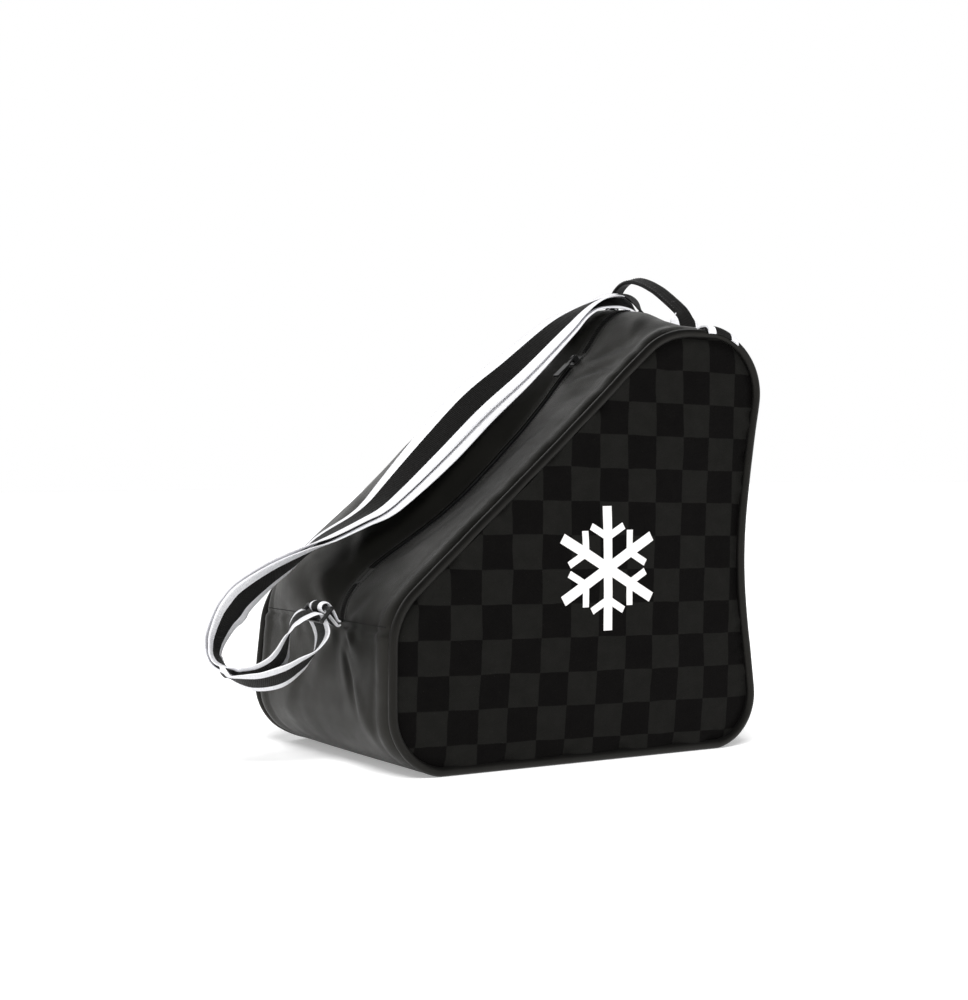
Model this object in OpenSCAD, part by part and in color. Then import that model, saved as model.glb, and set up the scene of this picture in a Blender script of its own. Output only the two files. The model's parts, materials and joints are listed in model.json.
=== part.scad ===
// Wedge-shaped skate bag: two stiff side panels joined by a zipped gusset, with a webbing
// carry handle and a doubled shoulder strap. X runs along the panels, Y from front to back,
// Z up; the origin is on the underside, at the middle of the bag.

/* [Body] */
// Length of the bag along the panels
body_length = 388; // [376:1:400]
// Height of the panels
body_height = 376; // [366:1:390]
// Depth between the outer faces of the front and back piping
body_depth = 252; // [236:2:260]
// Height at which the sloping zip side meets the upright end
shoulder_height = 137; // [130:1:144]
// Distance the slope runs along the top before it levels out
slope_run = 277; // [270:1:284]
// How far the long side opposite the slope draws in at its waist
waist_draw = 19; // [10:1:22]

/* [Fabric] */
// Thickness of the coated gusset fabric with its lining
fabric_t = 1.5; // [1.2:0.1:2]
// Thickness of the stiffened front and back panels
panel_t = 3; // [2:0.5:4]
// Distance across the flats of the piping
piping_w = 8; // [6:1:10]
// How far the slack far half of the slope stands out
slope_bulge = 25; // [18:1:28]
// How far the top stands out at its middle
top_crown = 18; // [14:1:20]

/* [Zip] */
// Distance of the zip from the middle, towards the front panel
zip_offset = 30; // [24:1:36]
// Length of fixed gusset between each rounded corner and the mouth
mouth_margin = 18; // [16:1:22]
// Width across the zip slider
slider_w = 9; // [8:1:10]
// Length of the pull tab
pull_length = 26; // [20:1:30]

/* [Webbing] */
// Width of the handle and strap webbing
webbing_w = 38; // [36:1:40]
// Thickness of one layer of webbing
webbing_t = 1.8; // [1.4:0.1:2]
// Where the handle crosses the top, along the bag
handle_x = 150; // [148:1:152]
// Half the distance between the feet of the handle
handle_half_span = 60; // [56:1:64]
// Height of the handle above the origin
handle_top = 436; // [434:1:438]

/* [Hidden] */
clear = 0.4;                    // gap between pieces that move past each other
arc_steps = 8;                  // steps round each corner of the outline
half_depth = body_depth / 2;
seam_y = half_depth - piping_w; // where the gusset meets the piping
zip_y = -zip_offset;
zip_flat = 8;                   // half width of the level strip that carries the zip
heel_draw = 4;                  // how much shorter the bag is at the floor than at the top
left_x = -(body_length - heel_draw) / 2;
right_x = left_x + body_length;

// Corners of the side panel, clockwise from the front: x, z, radius, then how far the
// gusset after the corner is crowned, and how far its far half bulges.
corners = [
    [left_x, 0, 55, 2, 0],
    [left_x, shoulder_height, 60, 2, slope_bulge],
    [left_x + slope_run, body_height, 80, top_crown, 0],
    [right_x, body_height, 55, 4, 0],
    [right_x - waist_draw, 175, 400, 4, 0],
    [right_x - heel_draw, 0, 48, 0, 0],
];

function unit(v) = v / norm(v);
function rot90(v) = [-v[1], v[0]];
function mix(a, b, f) = a + (b - a) * f;
function ease(f) = f * f * (3 - 2 * f);
function corner_xz(k) = let (c = corners[(k + len(corners)) % len(corners)]) [c[0], c[1]];
function edge_dir(k) = unit(corner_xz(k + 1) - corner_xz(k));

// Points round one corner: x, z, outward normal x and z, crown and bulge
function corner_arc(k) =
    let (d0 = edge_dir(k - 1), d1 = edge_dir(k), r = corners[k][2])
    let (turn = atan2(d1[0] * d0[1] - d1[1] * d0[0], d0 * d1))
    let (side = sign(turn), start = corner_xz(k) - d0 * r * tan(abs(turn) / 2))
    let (centre = start - side * r * rot90(d0))
    let (before = corners[(k + len(corners) - 1) % len(corners)], after = corners[k])
    [for (j = [0:arc_steps])
        let (f = j / arc_steps, a = turn * f)
        let (n = [rot90(d0)[0] * cos(a) + rot90(d0)[1] * sin(a),
                  rot90(d0)[1] * cos(a) - rot90(d0)[0] * sin(a)])
        let (p = centre + side * r * n)
        [p[0], p[1], n[0], n[1],
         mix(before[3], after[3], ease(f)), mix(before[4], after[4], ease(f))]];

outline = [for (k = [0:len(corners) - 1]) each corner_arc(k)];
count = len(outline);
function outline_point(i) = outline[i % count];
function xz(p) = [p[0], p[1]];
// Distance round the outline to each of its points, going once round and back to the start
distances = [for (i = 0, s = 0; i <= count;
    s = s + norm(xz(outline_point(i + 1)) - xz(outline_point(i))), i = i + 1) s];
girth = distances[count];
function station(k, j) = distances[k * (arc_steps + 1) + j];
function span_at(s, i = 0) = s <= distances[i + 1] || i == count - 1 ? i : span_at(s, i + 1);
// The outline's point, normal, crown and bulge at a distance round it
function outline_at(s) =
    let (t = s > girth ? s - girth : s)
    let (i = span_at(t))
    mix(outline_point(i), outline_point(i + 1), (t - distances[i]) / (distances[i + 1] - distances[i]));

// How far the gusset stands out at depth y, where the crown and bulge are given
function stand_out(y, crown, bulge) =
    let (u = y / seam_y, v = (y - zip_y - zip_flat) / (seam_y - zip_y - zip_flat))
    crown * (1 - u * u) + (v > 0 && v < 1 ? bulge * sin(180 * v) : 0);
function gusset_point(s, y, inset) =
    let (o = outline_at(s), n = unit([o[2], o[3]]), h = stand_out(y, o[4], o[5]) - inset)
    [o[0] + n[0] * h, y, o[1] + n[1] * h];

// Solids skinned over a list of rings, each a clockwise list of points seen from behind
function side_faces(rows, m, wrap) =
    [for (i = [0:(wrap ? rows - 1 : rows - 2)], j = [0:m - 1])
        let (a = i * m + j, b = i * m + (j + 1) % m)
        let (c = ((i + 1) % rows) * m + (j + 1) % m, d = ((i + 1) % rows) * m + j)
        each [[a, d, c], [a, c, b]]];
module skin(rings) {
    m = len(rings[0]);
    rows = len(rings);
    polyhedron([for (r = rings) each r], concat(side_faces(rows, m, false),
        [[for (j = [0:m - 1]) j]], [[for (j = [m - 1:-1:0]) (rows - 1) * m + j]]));
}
module closed_skin(rings) {
    polyhedron([for (r = rings) each r], side_faces(len(rings), len(rings[0]), true));
}

// A piece of gusset from one distance round the outline to another, between two depths
module gusset(s0, s1, y0 = -seam_y, y1 = seam_y, steps = 6, rows = 10, inset = 0, t = fabric_t) {
    skin([for (i = [0:steps])
        let (s = mix(s0, s1, i / steps))
        concat([for (j = [rows:-1:0]) gusset_point(s, mix(y0, y1, j / rows), inset)],
               [for (j = [0:rows]) gusset_point(s, mix(y0, y1, j / rows), inset + t)])]);
}

// Smooth curve through a route's points; every column of the route is carried along
function curve_point(p, i, f) =
    let (a = p[max(i - 1, 0)], b = p[i], c = p[i + 1], d = p[min(i + 2, len(p) - 1)])
    b + 0.5 * f * (c - a + f * (2 * a - 5 * b + 4 * c - d + f * (3 * b - a - 3 * c + d)));
function smooth(p, steps) =
    concat([for (i = [0:len(p) - 2], j = [0:steps - 1]) curve_point(p, i, j / steps)], [p[len(p) - 1]]);
function place(p) = [p[0], p[1], p[2]];
function heading(p, i) = unit(place(p[min(i + 1, len(p) - 1)]) - place(p[max(i - 1, 0)]));
// Width direction of webbing: across the bag, turned about its run by the lift angle
function across(t, lift) =
    let (w = unit([0, 1, 0] - t * t[1]), n = cross(w, t))
    w * cos(lift) + n * sin(lift);

// A flat strip along a route of x, y, z, lift angle and width
module ribbon(route, t = webbing_t, steps = 3) {
    p = smooth(route, steps);
    skin([for (i = [0:len(p) - 1])
        let (dir = heading(p, i), w = across(dir, p[i][3]), n = cross(w, dir))
        let (c = place(p[i]), hw = w * p[i][4] / 2, ht = n * t / 2)
        [c + ht - hw, c + ht + hw, c - ht + hw, c - ht - hw]]);
}

// Stations round the outline
seam_s = station(1, 2);                                  // cross seam low on the end
mouth_s0 = station(1, arc_steps) + mouth_margin;         // lower end of the mouth
mouth_s1 = station(2, 0) - mouth_margin;                 // upper end of the mouth
top_s0 = station(2, arc_steps);
top_s1 = station(3, arc_steps);
base_s0 = station(5, 0);
base_s1 = girth + station(0, arc_steps);

// The slope's own frame: +X up the slope, +Z out of it, from the lower end of the mouth
slope_angle = atan2(edge_dir(1)[1], edge_dir(1)[0]);
mouth_length = mouth_s1 - mouth_s0;
module on_slope(u = 0, n = 0) {
    o = outline_at(mouth_s0);
    translate([o[0], 0, o[1]]) rotate([0, -slope_angle, 0]) translate([u, 0, n]) children();
}
// A strip of the slope between two depths, as one extrusion along the mouth
module slope_strip(y0, y1, inset, t, u0, u1, rows = 12) {
    ys = [for (j = [0:rows]) mix(y0, y1, j / rows)];
    slope = corners[1];
    section = concat([for (y = ys) [stand_out(y, slope[3], slope[4]) - inset, y]],
                     [for (j = [rows:-1:0]) [stand_out(ys[j], slope[3], slope[4]) - inset - t, ys[j]]]);
    on_slope(u0) rotate([0, 90, 0]) mirror([1, 0, 0]) linear_extrude(u1 - u0) polygon(section);
}

fabric_colour = [0.22, 0.22, 0.21];
panel_colour = [0.13, 0.13, 0.13];
trim_colour = [0.10, 0.10, 0.10];
webbing_colour = [0.85, 0.85, 0.87];

// ---- stiff side panels and their piping ----
module side_plate() {
    shape = [for (p = outline) [p[0] - p[2] * piping_w, p[1] - p[3] * piping_w]];
    color(panel_colour) rotate([90, 0, 0]) linear_extrude(panel_t) polygon(shape);
}
panel_face = half_depth - 1;    // the panels sit just inside the crest of the piping
module front_panel() translate([0, -panel_face + panel_t, 0]) side_plate();
module back_panel() translate([0, panel_face, 0]) side_plate();

module piping(y) {
    r = piping_w / 2;
    reach = r / cos(22.5);
    color(trim_colour) closed_skin([for (i = [0:count - 1])
        let (o = outline[i])
        [for (a = [22.5:45:360])
            let (h = reach * sin(a) - r)
            [o[0] + o[2] * h, y - reach * cos(a), o[1] + o[3] * h]]]);
}
module front_piping() piping(-half_depth + piping_w / 2);
module back_piping() piping(half_depth - piping_w / 2);

// ---- gusset ----
module end_panel() color(fabric_colour) gusset(station(0, arc_steps), seam_s, steps = 4);
module lower_gusset() color(fabric_colour) difference() {
    gusset(seam_s, mouth_s0 - clear, steps = 9, rows = 16);
    zip_slot(-mouth_margin - 4, 1);
}
module upper_gusset() color(fabric_colour) difference() {
    gusset(mouth_s1 + clear, top_s0, steps = 10, rows = 16);
    zip_slot(mouth_length - 1, mouth_length + mouth_margin + 4);
}
module top_panel() color(fabric_colour) gusset(top_s0, top_s1, steps = 10);
module side_panel() color(fabric_colour) gusset(top_s1, base_s0, steps = 12);
module base_panel() color(fabric_colour) gusset(base_s0, base_s1, steps = 36, rows = 4);
// The slot that lets the slider's neck through the fixed gusset
module zip_slot(u0, u1) {
    on_slope(u0, -8) translate([0, zip_y - 5, 0]) cube([u1 - u0, 10, 30]);
}

// ---- binding over the raw seam edges, and the stiffening board ----
binding_t = 2.4;
binding_w = 12;
module seam_binding(y) {
    in0 = fabric_t + 0.6;
    color(trim_colour) skin([for (i = [0:60])
        let (o = outline_at(mix(mouth_s1 + mouth_margin, girth + mouth_s0 - mouth_margin, i / 60)))
        let (a = in0, b = in0 + binding_w)
        [[o[0] - o[2] * a, y + binding_t, o[1] - o[3] * a], [o[0] - o[2] * a, y, o[1] - o[3] * a],
         [o[0] - o[2] * b, y, o[1] - o[3] * b], [o[0] - o[2] * b, y + binding_t, o[1] - o[3] * b]]]);
}
module front_seam_binding() seam_binding(-seam_y);
module back_seam_binding() seam_binding(seam_y - binding_t);

board_t = 3;
board_length = 240;
module base_board() color("dimgray")
    translate([-board_length / 2, -seam_y + 6, fabric_t])
        cube([board_length, 2 * seam_y - 12, board_t]);

// ---- plain six-armed emblem printed on the front panel ----
emblem_x = 20;
emblem_z = 168;
emblem_r = 54;
emblem_bar = 9;
module emblem_arm() {
    translate([0, -emblem_bar / 2]) square([emblem_r, emblem_bar]);
    for (side = [-1, 1])
        translate([emblem_r * 0.5, 0]) rotate(side * 60) translate([0, -emblem_bar * 0.35])
            square([emblem_r * 0.36, emblem_bar * 0.7]);
}
module front_emblem() color("white") translate([emblem_x, -panel_face, emblem_z]) rotate([90, 0, 0])
    linear_extrude(0.4) for (k = [0:5]) rotate(30 + 60 * k) emblem_arm();

// ---- mouth flaps and zip ----
coil_gap = 0.9;     // half the gap between the two rows of the zip
coil_w = 2.4;
coil_h = 2;
tape_w = 13;
tape_t = 0.8;
flap_edge = coil_gap + coil_w + 1.4;
module front_flap() color(fabric_colour)
    slope_strip(-seam_y + clear, zip_y - flap_edge, 0, fabric_t, 0, mouth_length);
module back_flap() color(fabric_colour)
    slope_strip(zip_y + flap_edge, seam_y - 2 * clear, 0, fabric_t, 0, mouth_length, 20);
module zip_tape(side, u0, u1) color(trim_colour) {
    a = zip_y + side * (coil_gap + coil_w);
    b = zip_y + side * (coil_gap + coil_w + tape_w);
    slope_strip(min(a, b), max(a, b), fabric_t + 0.1, tape_t, u0, u1, 6);
}
module zip_coil(side, u0, u1) color("black") {
    a = zip_y + side * coil_gap;
    b = zip_y + side * (coil_gap + coil_w);
    slope_strip(min(a, b), max(a, b), 0.6, coil_h, u0, u1, 1);
}
module front_zip_tape() zip_tape(-1, 0, mouth_length);
module back_zip_tape() zip_tape(1, 0, mouth_length);
module front_zip_coil() zip_coil(-1, 0, mouth_length);
module back_zip_coil() zip_coil(1, 0, mouth_length);
module zip_end(u0, u1) for (side = [-1, 1]) {
    zip_tape(side, u0, u1);
    zip_coil(side, u0, u1);
}
end_run = mouth_margin - 1;
module lower_zip_end() zip_end(-end_run, -clear);
module upper_zip_end() zip_end(mouth_length + clear, mouth_length + end_run);
zip_level = corners[1][3] * (1 - pow(zip_y / seam_y, 2));   // height of the slope at the zip
module zip_stop(u) on_slope(u, zip_level - 2.6) color("black")
    translate([0, zip_y - coil_gap - coil_w, 0]) cube([2, 2 * (coil_gap + coil_w), 3]);
module zip_stops() {
    zip_stop(-end_run - 2);
    zip_stop(mouth_length + end_run);
}

// ---- slider and pull tab, drawn at the closed end at the top of the mouth ----
slider_length = 12;
slider_rest = mouth_length + clear + 1.5;     // where the slider's lower edge rests
coil_top = zip_level - 0.6;
wing_t = 1.4;
neck_t = 1;
pin_r = 0.9;
pin_lift = 3.4;                 // height of the pull pin above the slider's upper wing
wing_top = coil_top + clear + wing_t;
module at_slider() on_slope(slider_rest, 0) translate([0, zip_y, 0]) children();
module zip_slider() color("black") at_slider() {
    lower = coil_top - coil_h - clear - wing_t;
    translate([0, -slider_w / 2, wing_top - wing_t]) cube([slider_length, slider_w, wing_t]);
    translate([0, -coil_gap - coil_w, lower])
        cube([slider_length, 2 * (coil_gap + coil_w), wing_t]);
    translate([slider_length * 0.3, -neck_t / 2, lower])
        cube([slider_length * 0.4, neck_t, wing_top - lower]);
    for (side = [-1, 1])
        translate([slider_length * 0.3, side * 2.4 - 0.5, wing_top - 0.2])
            cube([slider_length * 0.4, 1, pin_lift + pin_r + 0.8]);
    translate([slider_length / 2, 2.9, wing_top + pin_lift]) rotate([90, 0, 0])
        cylinder(r = pin_r, h = 5.8, $fn = 48);
}
eye_r = 2.3;
tab_t = 1.6;
tab_w = 8;
module pull_tab() color("black") at_slider() translate([slider_length / 2, 0, wing_top + pin_lift])
    difference() {
        union() {
            translate([0, 1.6, 0]) rotate([90, 0, 0]) cylinder(r = eye_r, h = 3.2, $fn = 48);
            translate([-10, -1.6, -tab_t / 2]) cube([10, 3.2, tab_t]);
            translate([-pull_length, -tab_w / 2, -tab_t / 2]) cube([pull_length - 9, tab_w, tab_t]);
        }
        translate([0, 4, 0]) rotate([90, 0, 0]) cylinder(r = pin_r + 0.3, h = 8, $fn = 48);
    }

// ---- carry handle ----
function top_z(y) = body_height + stand_out(y, top_crown, 0);
handle_hinge_z = top_z(handle_half_span) + webbing_t + clear + webbing_w / 4 + 1;
handle_s = station(3, 0) + handle_x - outline_at(station(3, 0))[0];
module handle_end(y0, y1) color(webbing_colour)
    gusset(handle_s - webbing_w / 2, handle_s + webbing_w / 2, y0, y1, steps = 8, rows = 6,
        inset = -webbing_t - 0.3, t = webbing_t);
module handle_front_end() handle_end(-seam_y, -handle_half_span + 6);
module handle_back_end() handle_end(handle_half_span - 6, seam_y);
// The grip is the same webbing folded in half, so it is half as wide and twice as thick
grip_rise = handle_top - webbing_t - handle_hinge_z;
module handle_grip() color(trim_colour) {
    skin([for (a = [0:9:180])
        let (n = unit([cos(a) * grip_rise, sin(a) * handle_half_span]), hw = webbing_w / 4)
        let (y = -handle_half_span * cos(a), z = handle_hinge_z + grip_rise * sin(a))
        let (ny = -n[0] * webbing_t, nz = n[1] * webbing_t)
        [[handle_x - hw, y + ny, z + nz], [handle_x + hw, y + ny, z + nz],
         [handle_x + hw, y - ny, z - nz], [handle_x - hw, y - ny, z - nz]]]);
    for (side = [-1, 1])
        translate([handle_x, side * handle_half_span + webbing_t, handle_hinge_z]) rotate([90, 0, 0])
            cylinder(r = webbing_w / 4, h = 2 * webbing_t, $fn = 48);
}

// ---- shoulder strap: routes are x, y, z, lift and width, from the top end downwards ----
w = webbing_w;
strap_run = [
    [147, 0, 404, 0, w], [143, 0, 409, 20, w], [134, 0, 414, 28, w], [121, 0, 416, 15, w],
    [106, 0, 413, -1, w], [90, -1, 408, -6, w], [75, 0, 400, 2, w], [59, 2, 389, 16, w],
    [42, 3, 376, 25, w], [3, 3, 345, 38, w], [-38, 4, 314, 48, w], [-79, 4, 276, 39, w],
    [-120, 4, 237, 21, w], [-138, 4, 221, 12, w], [-156, 5, 210, 3, w], [-189, 5, 194, -4, w],
    [-216, 3, 179, -28, w], [-243, 3, 164, -44, w], [-267, 3, 147, -57, w],
    [-276, 3, 137, -61, w], [-284, 4, 127, -55, w], [-293, 5, 108, -45, w],
    [-294, 1, 94, -32, w], [-287, -4, 83, -7, w], [-280, -8, 79, 4, w], [-262, -16, 75, 29, w],
    [-242, -23, 79, 41, w], [-226, -28, 89, 36, w], [-215, -31, 99, 24, w],
    [-209.5, -32, 110, 12, w], [-209, -32, 118, 4, w], [-212.5, -32, 127, 0, w],
];
layer_gap = 3.8;    // between the middles of the two layers of the strap
layer_slip = 8;     // how far the return layer slips towards the front on the slope
function slip(x) = let (f = max(0, min(1, (120 - x) / 320))) layer_slip * sin(180 * pow(f, 1.5));
// The return layer rises from the ring, then lies under the strap up to its sewn end
function under(i) =
    let (t = heading(strap_run, i), p = strap_run[i], wide = across(t, p[3]))
    let (c = place(p) - cross(wide, t) * layer_gap - wide * slip(p[0]))
    [c[0], c[1], c[2], -p[3], p[4]];
return_run = concat([
    [-212.8, -32, 127.8, 0, w], [-214.7, -32, 131.8, 0, w], [-219, -32, 133.4, 0, w],
    [-224, -31, 132, -2, w], [-229, -28, 128.5, -8, w], [-233, -26, 123, -19, w],
    [-236, -25, 114, -30, w], [-240, -26, 104, -41, w], [-244, -26, 96, -46, w],
    [-251, -24, 89, -42, w], [-261, -19, 84, -33, w], [-271, -12, 82.5, -20, w],
    [-280, -7, 84.5, -4, w]],
    [for (i = [22:-1:3]) under(i)],
    [[131, 0, 409.5, -24, w], [138, 0, 405, -14, w], [141.5, 0, 400.8, 0, w]]);
module shoulder_strap() color(webbing_colour) ribbon(strap_run);
module strap_return() color(webbing_colour) ribbon(return_run);
module strap_end_tab() color(webbing_colour) {
    translate([122, -w / 2, top_z(0) + clear]) cube([26, w, webbing_t]);
    translate([146, -7, top_z(0) + clear]) cube([webbing_t, 14, 6]);
}
// ---- ring and its tab at the lower end of the strap ----
ring_y = -32;
ring_lower = [-219, ring_y, 127.5];
ring_upper = [-210, ring_y, 137.5];
ring_wire = 1.75;
ring_corner = 2.1;              // the ring is a little fuller at its corners
ring_inner = webbing_w + 2;
module ring_bar(centre, length) translate(centre) rotate([90, 0, 0])
    cylinder(r = ring_wire, h = length, center = true, $fn = 48);
module strap_ring() color("black") {
    rise = ring_upper - ring_lower;
    ring_bar(ring_lower, ring_inner + 2 * ring_wire);
    ring_bar(ring_upper, ring_inner + 2 * ring_wire);
    for (side = [-1, 1])
        translate(ring_lower + [0, side * (ring_inner / 2 + ring_wire), 0]) {
            rotate([0, atan2(rise[0], rise[2]), 0]) cylinder(r = ring_wire, h = norm(rise), $fn = 48);
            sphere(r = ring_corner, $fn = 48);
            translate(rise) sphere(r = ring_corner, $fn = 48);
        }
}
tab_run = [
    [-196, ring_y, 125, 0, 16], [-202, ring_y, 135.5, 0, 20], [-207.5, ring_y, 141.2, 0, 23],
    [-212.6, ring_y, 140.8, 0, 23], [-214.2, ring_y, 137.4, 0, 23], [-212, ring_y, 134, 0, 23],
    [-207.5, ring_y, 132.8, 0, 22], [-202, ring_y, 127.5, 0, 19], [-196, ring_y, 121.5, 0, 16],
];
module ring_tab() color(webbing_colour) ribbon(tab_run);

front_panel();
back_panel();
front_piping();
back_piping();
end_panel();
base_panel();
side_panel();
top_panel();
lower_gusset();
upper_gusset();
front_seam_binding();
back_seam_binding();
base_board();
front_emblem();
front_flap();
back_flap();
front_zip_tape();
back_zip_tape();
front_zip_coil();
back_zip_coil();
lower_zip_end();
upper_zip_end();
zip_stops();
zip_slider();
pull_tab();
handle_front_end();
handle_back_end();
handle_grip();
strap_end_tab();
shoulder_strap();
strap_return();
strap_ring();
ring_tab();
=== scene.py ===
"""Looks of the skate bag: fabric shell, checked panels, zip, webbing, studio and camera."""
import json
import math

import bmesh
import bpy
import numpy as np
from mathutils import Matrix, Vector

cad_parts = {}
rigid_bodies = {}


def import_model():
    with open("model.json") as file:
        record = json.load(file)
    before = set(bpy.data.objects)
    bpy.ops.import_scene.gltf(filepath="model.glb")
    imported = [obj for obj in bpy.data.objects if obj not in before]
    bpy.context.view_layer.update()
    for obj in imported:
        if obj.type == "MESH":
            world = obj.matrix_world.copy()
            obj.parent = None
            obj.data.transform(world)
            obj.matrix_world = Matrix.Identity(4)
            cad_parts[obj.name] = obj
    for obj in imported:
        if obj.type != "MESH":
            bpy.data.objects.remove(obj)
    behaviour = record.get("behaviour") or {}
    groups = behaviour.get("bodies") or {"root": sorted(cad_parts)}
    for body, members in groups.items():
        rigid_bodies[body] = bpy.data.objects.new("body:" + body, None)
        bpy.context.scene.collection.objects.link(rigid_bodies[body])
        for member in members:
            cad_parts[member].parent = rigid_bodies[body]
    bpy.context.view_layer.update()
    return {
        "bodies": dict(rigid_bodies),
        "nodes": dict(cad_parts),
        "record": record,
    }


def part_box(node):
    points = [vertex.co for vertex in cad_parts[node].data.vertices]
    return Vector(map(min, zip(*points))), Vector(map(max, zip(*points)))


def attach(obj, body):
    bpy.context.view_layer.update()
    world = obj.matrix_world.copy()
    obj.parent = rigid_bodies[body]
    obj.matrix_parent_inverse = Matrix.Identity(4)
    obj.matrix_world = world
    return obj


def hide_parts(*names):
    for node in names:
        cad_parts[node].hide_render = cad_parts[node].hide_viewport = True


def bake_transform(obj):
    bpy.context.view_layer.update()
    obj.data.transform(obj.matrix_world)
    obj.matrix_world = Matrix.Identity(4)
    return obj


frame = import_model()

MM = 0.001
bodies = frame["bodies"]
nodes = frame["nodes"]

# ---------------------------------------------------------------- camera
CAMERA_AZIMUTH = -31.22
CAMERA_ELEVATION = 1.66
CAMERA_PLACE = (-0.9253, -1.481, 0.275)
CAMERA_LENS = 68.4


def add_camera():
    data = bpy.data.cameras.new("camera")
    data.lens = CAMERA_LENS
    data.sensor_width = 36
    data.clip_end = 50
    cam = bpy.data.objects.new("camera", data)
    cam.location = CAMERA_PLACE
    cam.rotation_euler = (math.radians(90 - CAMERA_ELEVATION), 0, math.radians(CAMERA_AZIMUTH))
    bpy.context.collection.objects.link(cam)
    bpy.context.scene.camera = cam


add_camera()

# ---------------------------------------------------------------- the bag's dimensions, from the frame
front_lo, front_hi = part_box("front_piping")
back_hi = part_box("back_piping")[1]
LEFT = front_lo[0]
RIGHT = LEFT + 390 * MM
TOP = front_hi[2]
HALF_DEPTH = back_hi[1]
PIPING = front_hi[1] - front_lo[1]
SEAM_Y = HALF_DEPTH - PIPING
PANEL_FACE = -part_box("front_panel")[0][1]
FABRIC = 1.2 * MM
ZIP_Y = 0.5 * (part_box("front_zip_coil")[1][1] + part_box("back_zip_coil")[0][1])
ZIP_FLAT = 8 * MM
BULGE = 25 * MM
TOP_CROWN = 18 * MM

# Corners of the side panel, clockwise from the front: x, z, radius, then the crown and the
# far-side bulge of the gusset that follows the corner.
CORNERS = [
    (LEFT, 0, 0.055, 0.003, 0),
    (LEFT, 0.137, 0.060, 0.002, BULGE),
    (LEFT + 0.277, TOP, 0.080, TOP_CROWN, 0),
    (RIGHT, TOP, 0.055, 0.004, 0),
    (RIGHT - 0.026, 0.175, 0.400, 0.004, 0),
    (RIGHT - 0.005, 0, 0.048, 0.0, 0),
]
ARC_STEPS = 24
MOUTH_MARGIN = 18 * MM


def smoothstep(t):
    t = np.clip(t, 0, 1)
    return t * t * (3 - 2 * t)


def unit(v):
    return v / np.linalg.norm(v, axis=-1, keepdims=True)


def distance_along(points):
    steps = np.linalg.norm(np.diff(points, axis=0), axis=1)
    return np.concatenate([[0], np.cumsum(steps)])


def outline_rows():
    """Rows of x, z, normal x, normal z, crown and bulge round the side panel."""
    rows = []
    count = len(CORNERS)
    for k in range(count):
        here = np.array(CORNERS[k][:2])
        before = np.array(CORNERS[k - 1][:2])
        after = np.array(CORNERS[(k + 1) % count][:2])
        d0, d1 = unit(here - before), unit(after - here)
        turn = math.atan2(d1[0] * d0[1] - d1[1] * d0[0], d0 @ d1)
        side = math.copysign(1, turn)
        radius = CORNERS[k][2]
        n0 = np.array((-d0[1], d0[0]))
        centre = here - d0 * radius * math.tan(abs(turn) / 2) - side * radius * n0
        for j in range(ARC_STEPS + 1):
            f = j / ARC_STEPS
            c, s = math.cos(turn * f), math.sin(turn * f)
            normal = np.array((n0[0] * c + n0[1] * s, n0[1] * c - n0[0] * s))
            place = centre + side * radius * normal
            ease = smoothstep(f)
            crown = CORNERS[k - 1][3] * (1 - ease) + CORNERS[k][3] * ease
            bulge = CORNERS[k - 1][4] * (1 - ease) + CORNERS[k][4] * ease
            rows.append((*place, *normal, crown, bulge))
    return np.array(rows)


OUTLINE = outline_rows()
CLOSED = np.vstack([OUTLINE, OUTLINE[:1]])
DISTANCE = distance_along(CLOSED[:, :2])
GIRTH = DISTANCE[-1]


def station(corner, part):
    """Distance round the outline of a place on a corner's arc, from 0 to 1."""
    return DISTANCE[corner * (ARC_STEPS + 1) + round(part * ARC_STEPS)]


def outline_at(s):
    s = np.mod(s, GIRTH)
    return np.stack([np.interp(s, DISTANCE, CLOSED[:, c]) for c in range(6)], axis=-1)


CROSS_SEAM = station(1, 0.25)
MOUTH_LOW = station(1, 1) + MOUTH_MARGIN
MOUTH_HIGH = station(2, 0) - MOUTH_MARGIN
MOUTH_MID = (MOUTH_LOW + MOUTH_HIGH) / 2
TOP_START = station(2, 1)
HANDLE_X = 0.150
HANDLE_S = station(3, 0) + HANDLE_X - outline_at(station(3, 0))[0]
ANCHOR = (CROSS_SEAM, -0.032)

# ---------------------------------------------------------------- noise and folds in the cloth


def cloth_noise(u, v, seed):
    """Smooth repeatable noise from -1 to 1 over a 64 by 64 lattice."""
    lattice = np.random.RandomState(seed).uniform(-1, 1, (64, 64))
    iu, iv = np.floor(u).astype(int), np.floor(v).astype(int)
    fu, fv = smoothstep(u - iu), smoothstep(v - iv)
    a = lattice[iu % 64, iv % 64] * (1 - fu) + lattice[(iu + 1) % 64, iv % 64] * fu
    b = lattice[iu % 64, (iv + 1) % 64] * (1 - fu) + lattice[(iu + 1) % 64, (iv + 1) % 64] * fu
    return a * (1 - fv) + b * fv


def fold(s, y, start, end, width, height):
    """A soft ridge or valley along a line in the unrolled gusset, fading out at its ends."""
    a, b = np.array(start), np.array(end)
    run = b - a
    length = np.linalg.norm(run)
    along = ((s - a[0]) * run[0] + (y - a[1]) * run[1]) / length ** 2
    off = ((s - a[0]) * run[1] - (y - a[1]) * run[0]) / length
    fade = np.sin(np.pi * np.clip(along, 0, 1)) ** 0.7
    spread = width * (0.5 + 0.8 * np.clip(along, 0, 1))
    return height * fade * np.exp(-(off / spread) ** 2)


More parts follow.
